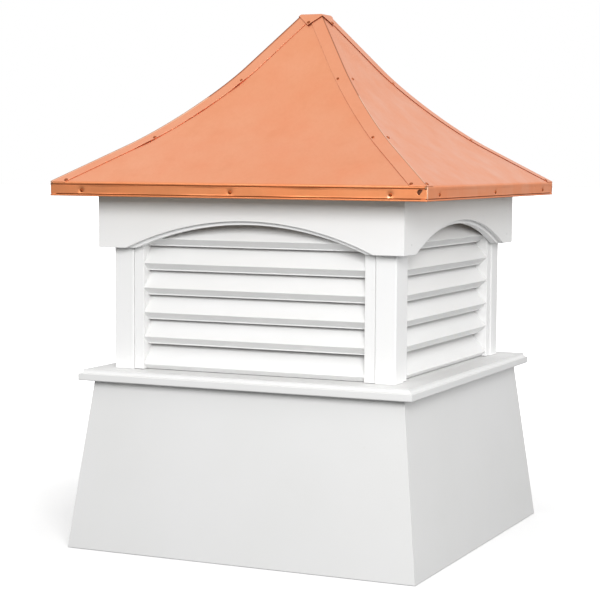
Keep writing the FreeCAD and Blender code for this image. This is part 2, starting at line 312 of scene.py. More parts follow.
def makeCopper(name, tint):
    material, tree, shader = newMaterial(name, Metallic=1.0, Coat_Weight=copper["coat"],
                                         Coat_Roughness=copper["coatRough"])
    mottle = ranged(tree, cloud(tree, copper["mottleScale"], 4.0, 0.55), *copper["mottleRange"])
    colour = blended(tree, mottle, copper["warm"], copper["pale"])
    patches = ranged(tree, cloud(tree, copper["patchScale"], 3.0, 0.6), *copper["patchRange"])
    colour = blended(tree, patches, colour, copper["deep"])
    rolled = cloud(tree, copper["rollScale"], 3.0, 0.6, copper["rollStretch"])
    colour = blended(tree, ranged(tree, rolled, *copper["rollRange"]), colour, copper["deep"])
    colour = blended(tree, 1.0, colour, tint, "MULTIPLY")
    height = addNode(tree, "SeparateXYZ", {"Vector": objectPoint(tree)}).outputs["Z"]
    fadeLow, fadeHigh = (eaveTop + step for step in copper["fasciaFade"])
    fasciaShadeBand = ranged(tree, height, fadeLow, fadeHigh, 1.0, 0.0)  # painted shade: the folded fascia is tinted deeper in tone than the roof
    colour = blended(tree, fasciaShadeBand, colour, blended(tree, 1.0, colour, copper["fascia"], "MULTIPLY"))
    # painted shade: darkens grooves, fold ridges and screw hollows towards the dark colour
    paintedShade = addNode(tree, "Attribute", attribute_name="paintedShade").outputs["Fac"]
    colour = blended(tree, paintedShade, colour, copper["paintedShade"])
    # painted highlight: lightens a hip fold, the corner tabs and a spot by a screw
    paintedHighlight = addNode(tree, "Attribute", attribute_name="paintedHighlight").outputs["Fac"]
    colour = blended(tree, paintedHighlight, colour, copper["bright"])
    tree.links.new(colour, shader.inputs["Base Color"])
    smears = ranged(tree, cloud(tree, copper["smearScale"], 4.0, 0.6), *copper["smearRange"])
    worn = combined(tree, ranged(tree, paintedShade, 0, 1, 0, copper["shadeRough"]),
                    ranged(tree, paintedHighlight, 0, 1, 0, copper["highlightSmooth"]), "SUBTRACT")
    tree.links.new(combined(tree, smears, worn), shader.inputs["Roughness"])
    grain = combined(tree, cloud(tree, copper["grainScale"], 2.0),
                     cloud(tree, copper["drawnScale"], 2.0, 0.5, copper["rollStretch"]))
    bumped(tree, shader, grain, copper["grainStrength"], copper["grainDepth"])
    return material


wood = {
    "rough": 0.72, "ringScale": 26.0, "ringBend": 7.0, "ringDetail": 3.0, "ringFine": 1.4,
    "ringStretch": (1, 1, 0.25), "ringRange": (0.2, 0.9, 0.0, 0.7),
    "cloudScale": 5.0, "cloudRange": (0.45, 0.7, 0.0, 0.3),
    "stainAndShade": (0.13, 0.036, 0.011, 1), "edgeDarkFrom": 0.3445, "edgeDarkFade": 0.001,
    "poreScale": 300.0, "poreStrength": 0.3, "poreDepth": 0.0004,
    "plyLight": (0.62, 0.47, 0.30, 1), "plyDark": (0.45, 0.30, 0.17, 1),
    "pineLight": (0.66, 0.50, 0.31, 1), "pineDark": (0.46, 0.30, 0.16, 1)}


def makeWood(name, light, dark, edgeStainAndShade=False):
    material, tree, shader = newMaterial(name, Roughness=wood["rough"])
    clouds = cloud(tree, wood["cloudScale"], 3.0)
    rings = addNode(tree, "TexWave", {
        "Vector": objectPoint(tree, wood["ringStretch"]), "Scale": wood["ringScale"],
        "Distortion": wood["ringBend"], "Detail": wood["ringDetail"], "Detail Scale": wood["ringFine"]},
        wave_type="RINGS").outputs["Fac"]
    colour = blended(tree, ranged(tree, rings, *wood["ringRange"]), light, dark)
    colour = blended(tree, ranged(tree, clouds, *wood["cloudRange"]), colour, dark)
    if edgeStainAndShade:  # copper stain and painted shade: the outer edge is dark where it touches the copper
        place = addNode(tree, "SeparateXYZ", {"Vector": objectPoint(tree)})
        across = combined(tree, combined(tree, place.outputs["X"], 0.0, "ABSOLUTE"),
                          combined(tree, place.outputs["Y"], 0.0, "ABSOLUTE"), "MAXIMUM")
        stainAndShadeMask = ranged(tree, across, wood["edgeDarkFrom"], wood["edgeDarkFrom"] + wood["edgeDarkFade"], 0.0, 1.0)
        colour = blended(tree, stainAndShadeMask, colour, wood["stainAndShade"])
    tree.links.new(colour, shader.inputs["Base Color"])
    pores = cloud(tree, wood["poreScale"], 3.0, 0.6)
    bumped(tree, shader, combined(tree, rings, pores), wood["poreStrength"], wood["poreDepth"])
    return material


vinyls = {name: makeVinyl(name, clean, lineDepth) for name, (clean, lineDepth) in vinylKinds.items()}
coppers = {name: makeCopper(name, tint) for name, tint in copperTints.items()}
sheetMaterials = [coppers["sheetCopper"], coppers["edgeShadeCopper"]]
stripMaterials = [coppers["stripCopper"], coppers["edgeShadeCopper"]]
soffitPly = makeWood("soffitPly", wood["plyLight"], wood["plyDark"], True)
rafterPine = makeWood("rafterPine", wood["pineLight"], wood["pineDark"])
print("materials made")


skirt = {"thickness": 0.0127, "footRadius": 0.0012, "edge": 0.0004, "underSill": 0.0215}


def skirtPanel():
    bm = bmesh.new()
    bottom, top = -skirtLow.y, -sillLow.y - skirt["underSill"]
    flare = math.atan2(bottom - top, skirtHigh.z)
    level = skirt["thickness"] / math.cos(flare)
    sectionFace(bm, [(bottom, 0, skirt["footRadius"]), (top, skirtHigh.z, 0),
                     (top - level, skirtHigh.z, 0), (bottom - level, 0, skirt["footRadius"])], alongFront)
    mitredBoard(bm)
    softenEdges(bm, skirt["edge"])
    return bm


sill = {"ledge": 0.088, "bottomRadius": 0.002, "lipRadius": 0.001, "coveWidth": 0.0066,
        "coveHeight": 0.0071, "coveRadius": 0.0055, "topRadius": 0.0005}


def sillBoard():
    bm = bmesh.new()
    out, coveIn = -sillLow.y, -sillLow.y - sill["coveWidth"]
    inner = out - sill["ledge"]
    lip = sillTop - sill["coveHeight"]
    sectionFace(bm, [(inner, sillLow.z, 0), (out, sillLow.z, sill["bottomRadius"]),
                     (out, lip, sill["lipRadius"]), (coveIn, lip, sill["coveRadius"]),
                     (coveIn, sillTop, sill["topRadius"]), (inner, sillTop, 0)], alongFront, 7)
    mitredBoard(bm)
    return bm


post = {"radius": 0.0025, "innerRadius": 0.001, "footGap": 0.0005}
jamb = {"width": 0.0195, "radius": 0.0008, "footGap": 0.0012, "sideGap": 0.0007}


def cornerPost():
    bm = bmesh.new()
    inner, outer, radius = postLow.x, postHigh.x, post["radius"]
    sectionFace(bm, [(inner, inner, post["innerRadius"]), (inner, outer, radius), (outer, outer, radius),
                     (outer, inner, radius)], inPlan, 6)
    foot = sillTop + post["footGap"]
    bmesh.ops.translate(bm, verts=bm.verts, vec=(0, 0, foot))
    pushOut(bm, bm.faces[:], Vector((0, 0, postHigh.z - foot)))
    return bm


def jambStrips():
    bm = bmesh.new()
    inner, outer = stripHigh.x - jamb["width"], stripHigh.x - jamb["sideGap"]
    face, behind, radius = -stripLow.y, -stripHigh.y, jamb["radius"]
    foot = sillTop + jamb["footGap"]
    for way in (1, -1):
        one = bmesh.new()
        sectionFace(one, [(way * inner, behind, 0), (way * inner, face, radius),
                          (way * outer, face, radius), (way * outer, behind, 0)], inPlan, 4)
        bmesh.ops.translate(one, verts=one.verts, vec=(0, 0, foot))
        pushOut(one, one.faces[:], Vector((0, 0, postHigh.z - foot)))
        bmesh.ops.recalc_face_normals(one, faces=one.faces)
        appendMesh(bm, one)
    return bm


louver = {"count": 6, "lowestLip": 0.0098, "lowestPitch": 0.0488, "pitch": 0.0434, "slope": 48.0,
          "rise": 0.038, "returnRun": 0.014, "returnDrop": 0.011, "hem": 0.002, "sheet": 0.0025,
          "lipRadius": 0.0012, "foldRadius": 0.0006, "hemRadius": 0.0003, "innerFold": 0.0005,
          "innerLip": 0.0002, "setback": 0.0005, "sillGap": 0.0010, "endGap": 0.0001}


def louverSection(bm, lip):
    slope = math.radians(louver["slope"])
    fall = math.atan2(louver["returnDrop"], louver["returnRun"])
    lipHalf = -stripLow.y - louver["setback"]
    topHalf = lipHalf - louver["rise"] / math.tan(slope)
    returnHalf = lipHalf - louver["returnRun"]
    hemTop = lip - louver["returnDrop"]
    hemLow = hemTop - louver["hem"]
    inset = louver["sheet"] / math.sin((slope + fall) / 2)
    lean = (slope - fall) / 2
    innerHalf, innerLip = lipHalf - inset * math.cos(lean), lip + inset * math.sin(lean)
    innerReturn = returnHalf - louver["sheet"]
    top = lip + louver["rise"]
    sectionFace(bm, [
        (topHalf, top, 0), (lipHalf, lip, louver["lipRadius"]), (returnHalf, hemTop, louver["foldRadius"]),
        (returnHalf, hemLow, louver["hemRadius"]), (innerReturn, hemLow, louver["hemRadius"]),
        (innerReturn, innerLip - (innerHalf - innerReturn) * math.tan(fall), louver["innerFold"]),
        (innerHalf, innerLip, louver["innerLip"]),
        (topHalf - louver["sheet"] * math.sin(slope), top - louver["sheet"] * math.cos(slope), 0)],
        alongFront, 4)


def louverBlades():
    bm = bmesh.new()
    lip = sillTop + louver["lowestLip"]
    pitch = louver["lowestPitch"]
    half = stripHigh.x - jamb["width"] - louver["endGap"]
    for index in range(louver["count"]):
        one = bmesh.new()
        louverSection(one, lip)
        bmesh.ops.translate(one, verts=one.verts, vec=(-half, 0, 0))
        pushOut(one, one.faces[:], Vector((2 * half, 0, 0)))
        if index == 0:  # the lowest blade is cut level above the sill
            cutOff(one, Vector((0, 0, sillTop + louver["sillGap"])), Vector((0, 0, -1)))
        bmesh.ops.recalc_face_normals(one, faces=one.faces)
        appendMesh(bm, one)
        lip += pitch
        pitch = louver["pitch"]
    return bm


frieze = {"halfSpan": 0.2335, "rise": 0.051, "reveal": 0.0063, "backing": 0.0127, "facing": 0.0083,
          "arcSteps": 64, "edge": 0.0009}


def archedBoard(face, thickness, reveal):
    bm = bmesh.new()
    low, high = facingLow.z, facingHigh.z
    radius = (frieze["halfSpan"] ** 2 + frieze["rise"] ** 2) / (2 * frieze["rise"])
    centre = Vector((0, -face, low + frieze["rise"] - radius))
    radius -= reveal
    half = math.sqrt(radius ** 2 - (low - centre.z) ** 2)
    first = bm.verts.new((-half, -face, low))
    turn = 2 * math.atan2(half, low - centre.z)
    bmesh.ops.spin(bm, geom=[first], cent=centre, axis=(0, 1, 0), angle=turn, steps=frieze["arcSteps"])
    last = max(bm.verts, key=lambda v: v.co.x)
    rest = [bm.verts.new((x, -face, z))
            for x, z in ((face, low), (face, high), (-face, high), (-face, low))]
    ring = [last] + rest + [first]
    for one, following in zip(ring, ring[1:]):
        bm.edges.new((one, following))
    bmesh.ops.contextual_create(bm, geom=bm.edges[:])
    pushOut(bm, bm.faces[:], Vector((0, thickness, 0)))
    mitre(bm)
    softenEdges(bm, frieze["edge"], 3)
    return bm


for side, degrees in sideTurns.items():
    pieces = [
        ("skirtPanel_", skirtPanel(), "skirtVinyl", "white_board", "base_panel_"),
        ("sillBoard_", sillBoard(), "sillVinyl", "white_board", "sill_board_"),
        ("jambStrips_", jambStrips(), "boardVinyl", "white_board", "jamb_strips_"),
        ("louverBlades_", louverBlades(), "louverVinyl", "white_louver", "louver_blades_"),
        ("friezeBacking_", archedBoard(-backingLow.y, frieze["backing"], frieze["reveal"]), "boardVinyl",
         "white_board", "frieze_backing_"),
        ("friezeFacing_", archedBoard(-facingLow.y, frieze["facing"], 0), "boardVinyl", "white_board",
         "frieze_facing_")]
    for name, bm, kind, slotName, node in pieces:
        turnMesh(bm, degrees)
        addPiece(name + side, bm, [vinyls[kind]], [node + side])
for corner, degrees in cornerTurns.items():
    bm = cornerPost()
    turnMesh(bm, degrees)
    addPiece("cornerPost_" + corner, bm, [vinyls["boardVinyl"]], ["corner_post_" + corner])
print("white boards and louvers made")


roof = {"lowerSlope": 33.1, "upperSlope": 51.8, "eaveHalf": 0.3492, "bendInset": 0.1889,
        "bendRadius": 0.650, "bendSteps": 22, "sheet": 0.0007, "pastCorner": 0.36, "sharp": 30}
eaveHalf = roof["eaveHalf"]
lowerSlope, upperSlope = math.radians(roof["lowerSlope"]), math.radians(roof["upperSlope"])
bendHalf = eaveHalf - roof["bendInset"]
bendHeight = eaveTop + roof["bendInset"] * math.tan(lowerSlope)


def roofLine(offset):
    # eave, bend and top of the roof's line moved out by offset, and how far the bend's curve reaches
    lowerNormal = Vector((math.sin(lowerSlope), math.cos(lowerSlope)))
    upperNormal = Vector((math.sin(upperSlope), math.cos(upperSlope)))
    outward = (lowerNormal + upperNormal) * offset / (1 + lowerNormal.dot(upperNormal))
    bend = Vector((bendHalf, bendHeight)) + outward
    eave = Vector((eaveHalf, bend.y - (eaveHalf - bend.x) * math.tan(lowerSlope)))
    top = Vector((bend.x - (roofTop - bend.y) / math.tan(upperSlope), roofTop))
    reach = (roof["bendRadius"] - offset) * math.tan((upperSlope - lowerSlope) / 2)
    return eave, bend, top, reach


def roofAt(height, offset=0.0):
    # how far out the roof line is at a height, and its slope there
    eave, bend, top, reach = roofLine(offset)
    lowEnd = bend + Vector((math.cos(lowerSlope), -math.sin(lowerSlope))) * reach
    highEnd = bend + Vector((-math.cos(upperSlope), math.sin(upperSlope))) * reach
    if height <= lowEnd.y:
        return lowEnd.x + (lowEnd.y - height) / math.tan(lowerSlope), lowerSlope
    if height >= highEnd.y:
        return highEnd.x - (height - highEnd.y) / math.tan(upperSlope), upperSlope
    radius = roof["bendRadius"] - offset
    centre = lowEnd + Vector((math.sin(lowerSlope), math.cos(lowerSlope))) * radius
    slope = math.acos((centre.y - height) / radius)
    return centre.x - radius * math.sin(slope), slope


def foldedStrip(bm, chain):
    # a sheet from a line of (out, up, reach, steps), folds rounded by their reach
    half = roof["pastCorner"]
    verts = [bm.verts.new((-half, -out, up)) for out, up, reach, steps in chain]
    edges = [bm.edges.new(pair) for pair in zip(verts, verts[1:])]
    grown = bmesh.ops.extrude_edge_only(bm, edges=edges)["geom"]
    bmesh.ops.translate(bm, verts=vertsOf(grown), vec=(2 * half, 0, 0))
    for out, up, reach, steps in chain:
        if reach > 0:
            spot = Vector((-out, up))
            folds = [e for e in bm.edges if all((v.co.yz - spot).length < 1e-6 for v in e.verts)]
            roundFolds(bm, folds, reach, steps)
    bm.normal_update()
    if sum(f.normal.z - f.normal.y for f in bm.faces) < 0:
        bmesh.ops.reverse_faces(bm, faces=bm.faces)


sheet = {"lip": 0.0034, "grooveWide": 0.0013, "grooveDeep": 0.0016, "grooveReach": 0.0004,
         "hemHeight": 0.0030, "hemGroove": 0.0014, "hemDeep": 0.0015, "hemReach": 0.0005,
         "hemTuck": 0.0016, "footReach": 0.0006, "slant": 0.0001, "foldReach": 0.0012,
         "smoothReach": 0.0022, "cornerGap": 0.00015}


def sheetChain(grooved):
    low, out = sheetLow.z, eaveHalf
    eave, bend, top, reach = roofLine(0.0)
    slant, fold, hemFold = sheet["slant"], sheet["grooveReach"], sheet["hemReach"]
    chain = [(top.x, top.y, 0, 0), (bend.x, bend.y, reach, roof["bendSteps"])]
    if grooved:
        foot = eaveTop - sheet["lip"]
        deep = out - sheet["grooveDeep"]
        grooveLow = foot - sheet["grooveWide"]
        chain += [(out, eaveTop, sheet["foldReach"], 4), (out, foot, hemFold, 2), (deep, foot - slant, 0, 0),
                  (deep, grooveLow, 0, 0), (out, grooveLow - slant, fold, 2)]
    else:
        chain += [(out, eaveTop, sheet["smoothReach"], 6)]
    hemTop = low + sheet["hemHeight"]
    grooveTop = hemTop + sheet["hemGroove"]
    deep = out - sheet["hemDeep"]
    hemOut = hemFace - slant
    chain += [(out, grooveTop + slant, fold, 2), (deep, grooveTop, 0, 0), (deep, hemTop, 0, 0),
              (hemOut, hemTop - slant, hemFold, 3), (hemOut, low + 2 * slant, sheet["footReach"], 3),
              (hemFace - sheet["hemTuck"], low + slant, 0, 0)]
    return chain


tear = {"low": Vector((0.331, 0.6335)), "high": Vector((0.3435, 0.646)),
        "outline": [(0.3327, 0.6385), (0.3334, 0.6418), (0.3352, 0.6438), (0.3375, 0.6445),
                    (0.3412, 0.6440), (0.3417, 0.6427), (0.3385, 0.6375), (0.3362, 0.6349),
                    (0.3340, 0.6362)]}


def cutTear(bm):
    # the small torn hole: a cut along each of its edges, then the inside is removed
    outline = [Vector(p) for p in tear["outline"]]
    sides = list(zip(outline, outline[1:] + outline[:1]))

    def nearTear(f):
        c = f.calc_center_median()
        return (tear["low"].x < c.x < tear["high"].x and tear["low"].y < c.z < tear["high"].y
                and f.normal.y < -0.9)

    for one, following in sides:
        near = [f for f in bm.faces if nearTear(f)]
        along = following - one
        geom = list({v for f in near for v in f.verts}) + list({e for f in near for e in f.edges}) + near
        bmesh.ops.bisect_plane(bm, geom=geom, dist=mergeDistance, plane_co=(one.x, 0, one.y),
                               plane_no=Vector((along.y, 0, -along.x)).normalized())
    inside = []
    for f in [f for f in bm.faces if nearTear(f)]:
        point = f.calc_center_median().xz
        turns = [(b - a).cross(point - a) for a, b in sides]
        if all(t < 0 for t in turns) or all(t > 0 for t in turns):
            inside.append(f)
    bmesh.ops.delete(bm, geom=inside, context="FACES")


fasciaScrew = {"out": 0.287, "height": 0.6352, "dimple": 0.0009, "dimpleRadius": 0.0045,
               "highlightAside": 0.0030, "highlightRadius": 0.0022, "highlightPeak": 1.4}
columnsAndRows = {"from": -0.35, "step": 0.0125, "columns": 56, "rows": 24,
                  "fine": 0.0015, "fineCount": 6,
                  "crease": (-0.005, -0.003, -0.0015, 0.0, 0.0015, 0.003, 0.005),
                  "corner": (0.001, 0.002, 0.0035, 0.006, 0.009, 0.012)}
wave = {"height": 0.0007, "scale": 6.5, "fromHip": 0.034, "fromEave": 0.004, "grow": 0.05,
        "above": 0.001, "seed": 3.1}
fasciaFlat = {"below": 0.0055, "behind": 0.0004, "above": 0.005}
ripple = {"height": 0.00025, "scale": 11.0, "sink": 0.00012}
crease = {"at": 0.2354, "width": 0.003, "from": 0.636, "grow": 0.010, "depth": 0.0007}
hemFade = {"from": 0.012, "grow": 0.008, "low": 0.001, "high": 0.006, "behind": 0.0005}
notch = {"wide": 0.0028, "tall": 0.0022, "below": 0.0030, "cut": 0.0022, "sunk": 0.0012}
grooveShade = {"amount": 0.85, "behind": 0.0010, "below": 0.0015, "highlightBelow": 0.005}
screwPlaces = (-fasciaScrew["out"], 0.0, fasciaScrew["out"])


def fasciaDent(side, x, up):
    # the screws' dimples, and one crease in each side fascia
    dent = 0.0
    for middle in screwPlaces:
        away = math.hypot(x - middle, up - fasciaScrew["height"])
        dent += fasciaScrew["dimple"] * math.exp(-(away / fasciaScrew["dimpleRadius"]) ** 2)
    if side in ("right", "left"):
        bent = max(0.0, 1 - abs(x - crease["at"]) / crease["width"])
        dent += crease["depth"] * min(1.0, bent * max(0.0, (up - crease["from"]) / crease["grow"]))
    return dent


def shapeSheet(bm, side, grooved):
    for v in bm.verts:
        x, out, up = v.co.x, -v.co.y, v.co.z
        if up > eaveTop + wave["above"]:  # soft waves between the hips
            offHip = clamped((out - abs(x) - wave["fromHip"]) / wave["grow"])
            offEave = clamped((up - eaveTop - wave["fromEave"]) / wave["grow"])
            place = Vector((x, out, up)) * wave["scale"] + Vector((sideTurns[side], wave["seed"], 0))
            slope = roofAt(up)[1]
            lift = noise.noise(place) * wave["height"] * offHip * offEave
            v.co += Vector((0, -math.sin(slope), math.cos(slope))) * lift
        elif (sheetLow.z + fasciaFlat["above"] < up < eaveTop - fasciaFlat["below"]
              and out > eaveHalf - fasciaFlat["behind"]):
            uneven = noise.noise(Vector((x * ripple["scale"], sideTurns[side], 0))) * ripple["height"]
            v.co.y += fasciaDent(side, x, up) - min(0.0, uneven - ripple["sink"])
    for v in bm.verts:  # the hem's groove runs out before the corners
        inGroove = sheetLow.z + hemFade["low"] < v.co.z < sheetLow.z + hemFade["high"]
        if inGroove and -v.co.y < eaveHalf - hemFade["behind"]:
            fade = clamped((abs(v.co.x) - eaveHalf + hemFade["from"]) / hemFade["grow"])
            v.co.y -= fade * (eaveHalf + v.co.y)
    for v in bm.verts:  # a small open notch where the fold meets the corner
        atFold = abs(v.co.z - (eaveTop - notch["below"])) < notch["tall"]
        if grooved and abs(v.co.x) > eaveHalf - notch["wide"] and atFold:
            v.co.x -= math.copysign(notch["cut"], v.co.x)
            v.co.y += notch["sunk"]


def paintShadeAndHighlight(bm, side):
    # painted shade in the grooves, and a painted highlight by the front's right screw
    shadeLayer = bm.verts.layers.float.new("paintedShade")
    highlightLayer = bm.verts.layers.float.new("paintedHighlight")
    aside = fasciaScrew["highlightAside"]
    highlightSpot = Vector((fasciaScrew["out"] - aside, fasciaScrew["height"] - aside))
    for v in bm.verts:
        # painted shade: the recessed fascia grooves are darkened; painted highlight: a bright spot below and
        # left of the front's right screw
        deepGroove = -v.co.y < eaveHalf - grooveShade["behind"] and v.co.z < eaveTop - grooveShade["below"]
        v[shadeLayer] = grooveShade["amount"] if deepGroove else 0.0
        if side == "front" and v.co.z < eaveTop - grooveShade["highlightBelow"]:
            away = (v.co.xz - highlightSpot).length / fasciaScrew["highlightRadius"]
            v[highlightLayer] = max(0.0, fasciaScrew["highlightPeak"] - away)


def roofSheet(side, grooved):
    bm = bmesh.new()
    foldedStrip(bm, sheetChain(grooved))
    step, count = columnsAndRows["step"], columnsAndRows["fineCount"]
    fine = [columnsAndRows["fine"] * i for i in range(-count, count + 1)]
    columns = [columnsAndRows["from"] + step * i for i in range(1, columnsAndRows["columns"])]
    for middle in screwPlaces:
        columns += [middle + aside for aside in fine]
    columns += [crease["at"] + aside for aside in columnsAndRows["crease"]]
    columns += [way * (eaveHalf - aside) for way in (1, -1) for aside in columnsAndRows["corner"]]
    slices(bm, (1, 0, 0), sorted(columns))
    rows = [eaveTop + wave["fromEave"] + step * i for i in range(columnsAndRows["rows"])]
    rows += [fasciaScrew["height"] + aside for aside in fine]
    slices(bm, (0, 0, 1), sorted(rows))
    mitre(bm, sheet["cornerGap"], False)
    shapeSheet(bm, side, grooved)
    if side == "front":
        cutTear(bm)
    paintShadeAndHighlight(bm, side)
    return bm


for side, degrees in sideTurns.items():
    bm = roofSheet(side, side in ("front", "back"))
    turnMesh(bm, degrees)
    addPiece("roofSheet_" + side, bm, sheetMaterials, ["roof_sheet_" + side], roof["sheet"],
             roof["sharp"])
print("roof sheets made")


hip = {"leg": 0.0228, "lay": 0.0002, "thickness": 0.0009, "wall": 0.0008, "foot": 0.0016,
       "footReach": 0.0007, "rowStep": 0.006, "rows": 49, "edgeRow": 0.0006, "secondDrop": 0.0004,
       "ridgeSteps": (0.0003, 0.0009, 0.0016, 0.0024, 0.0034), "legFrom": 0.0048, "legStep": 0.0015,
       "legRows": 10, "screwHeights": (0.6535, 0.7285, 0.832), "wideOffsets": (0.0240, 0.0225, 0.0215),
       "nearOffsets": (0.0085, 0.0125, 0.0165), "dimple": 0.0005, "dimpleRadius": 0.0042,
       "dimpleLift": 0.0015, "brightBelow": 0.80, "brightWidth": 0.0016, "ridgeShadeWidth": 0.0032,
       "firstRidgeShade": 0.7, "firstWidth": 0.0012, "liftWidth": 0.007,
       "lifts": ((0.7200, 0.0011, 0.009), (0.8240, 0.0012, 0.010), (0.776, 0.0005, 0.016))}


def planReach(slope):
    # plan distance along the eave that a leg of this width takes where the roof has this slope
    return hip["leg"] / math.sin(math.atan(1 / math.cos(slope)))


def legShape():
    # the flat leg on the front sheet at the right hip, its outer edge's place and that edge's normal
    bm = bmesh.new()
    eave, bend, top, reach = roofLine(hip["lay"] + hip["thickness"])
    foldedStrip(bm, [(top.x, top.y, 0, 0), (bend.x, bend.y, reach, roof["bendSteps"]),
                     (eave.x, eave.y, hip["footReach"], 3), (eave.x, eave.y - hip["foot"], 0, 0)])
    slices(bm, (0, 0, 1), [eaveTop + hip["rowStep"] + hip["rowStep"] * i for i in range(hip["rows"])])
    cutOff(bm, Vector((0, 0, 0)), Vector((1, 1, 0)).normalized(), False)
    topReach, eaveReach = planReach(upperSlope), planReach(lowerSlope)
    edge = Vector((eaveHalf - eaveReach, -eaveHalf, 0))
    edgeLine = edge - Vector((-topReach, 0, 0))
    edgeNormal = Vector((edgeLine.y, -edgeLine.x, 0)).normalized()
    if edgeNormal.x > 0:
        edgeNormal.negate()
    cutOff(bm, edge, edgeNormal, False)
    fromRidge = [-step for step in hip["ridgeSteps"]]
    fromRidge += [-hip["legFrom"] - hip["legStep"] * i for i in range(hip["legRows"])]
    slices(bm, Vector((1, 1, 0)).normalized(), fromRidge)
    bmesh.ops.bisect_plane(bm, geom=everything(bm), dist=mergeDistance,
                           plane_co=edge - edgeNormal * hip["edgeRow"], plane_no=edgeNormal)
    return bm, edge, edgeNormal


def hipLeg(offsets, second):
    bm, edge, edgeNormal = legShape()
    shadeLayer = bm.verts.layers.float.new("paintedShade")
    highlightLayer = bm.verts.layers.float.new("paintedHighlight")
    for v in bm.verts:
        slope = roofAt(min(v.co.z, roofTop), hip["lay"])[1]
        sink = 0.0
        for height, offset in zip(hip["screwHeights"], offsets):
            half = roofAt(height, hip["dimpleLift"])[0]
            away = (v.co - Vector((half - offset, -half, height))).length
            sink += hip["dimple"] * math.exp(-(away / hip["dimpleRadius"]) ** 2)
        ridge = -(v.co.x + v.co.y) / math.sqrt(2)
        # painted highlight along the second leg's ridge below brightBelow; painted shade along that ridge
        # above it and along the first leg's ridge
        if second and v.co.z < hip["brightBelow"]:
            v[highlightLayer] = max(0.0, 1 - abs(ridge - hip["brightWidth"]) / hip["brightWidth"])
        elif second:
            v[shadeLayer] = max(0.0, 1 - ridge / hip["ridgeShadeWidth"])
        else:
            v[shadeLayer] = hip["firstRidgeShade"] * max(0.0, 1 - ridge / hip["firstWidth"])
        fromEdge = (edge - Vector((v.co.x, v.co.y, 0))).dot(edgeNormal)
        if second:  # the edge stands a little open beside its screws
            for height, lift, length in hip["lifts"]:
                inward = max(0.0, 1 - abs(fromEdge) / hip["liftWidth"])
                sink -= lift * inward * math.exp(-((v.co.z - height) / length) ** 2)
        v.co -= Vector((0, -math.sin(slope), math.cos(slope))) * sink
    return bm


def hipStrip(nearSide):
    bm = hipLeg(hip["wideOffsets"], False)
    other = hipLeg(hip["nearOffsets"] if nearSide else hip["wideOffsets"], True)
    mirrorAtHip(other)
    for v in other.verts:  # the second leg tucks a little under the first
        v.co.z -= hip["secondDrop"]
    appendMesh(bm, other)
    return bm


for corner, degrees in cornerTurns.items():
    bm = hipStrip(corner in ("front_right", "back_left"))
    turnMesh(bm, degrees)
    addPiece("hipStrip_" + corner, bm, stripMaterials, ["hip_strip_" + corner], hip["wall"],
             roof["sharp"])
print("hip strips made")


cap = {"half": 0.0208, "thickness": 0.001, "tabLay": 0.0018, "band": 0.0024, "tabDrop": 0.0196,
       "fold": 0.0009, "screwDrop": 0.0154, "notch": 0.0011, "sharp": 40}


def roofCap():
    # a square plate, a band folded down all round it, and a pointed tab below the band on each side
    bm = bmesh.new()
    bmesh.ops.create_grid(bm, x_segments=1, y_segments=1, size=cap["half"])
    bmesh.ops.translate(bm, verts=bm.verts, vec=(0, 0, capHigh.z))
    bandLow = capHigh.z - cap["thickness"] - cap["band"]
    tip = capHigh.z - cap["thickness"] - cap["tabDrop"]
    lay = cap["tabLay"] + cap["thickness"]
    bandOut, tipOut = roofAt(bandLow, lay)[0], roofAt(tip, lay)[0]
    bm.faces.ensure_lookup_table()
    grown = bmesh.ops.extrude_edge_only(bm, edges=bm.edges[:])["geom"]
    for v in vertsOf(grown):
        v.co = Vector((math.copysign(bandOut, v.co.x), math.copysign(bandOut, v.co.y), bandLow))
    bm.edges.ensure_lookup_table()
    for edge in [e for e in bm.edges if all(abs(v.co.z - bandLow) < 1e-6 for v in e.verts)]:
        first, second = edge.verts[:]
        middle = (first.co + second.co) / 2
        away = Vector((middle.x, middle.y, 0)).normalized()
        share = cap["notch"] / edge.calc_length()
        near = bmesh.utils.edge_split(edge, first, share)[1]
        far = bmesh.utils.edge_split(edge, second, share / (1 - share))[1]
        bm.faces.new((near, bm.verts.new(away * tipOut + Vector((0, 0, tip))), far))
    bmesh.ops.recalc_face_normals(bm, faces=bm.faces)
    bm.normal_update()
    if max(bm.faces, key=lambda f: f.calc_center_median().z).normal.z < 0:
        bmesh.ops.reverse_faces(bm, faces=bm.faces)
    folds = [e for e in bm.edges if len(e.link_faces) == 2 and e.calc_face_angle(0) > math.radians(20)]
    roundFolds(bm, folds, cap["fold"], 3)
    bm.verts.layers.float.new("paintedShade")
    return bm


addPiece("roofCap", roofCap(), stripMaterials, ["roof_cap"], cap["thickness"], cap["sharp"])


cornerTab = {"width": 0.0045, "sheet": 0.0006, "reach": 0.0016, "paintedHighlight": 0.8, "footRise": 0.0046,
             "headDrop": 0.0014, "inside": 0.0008, "proud": 0.0004}


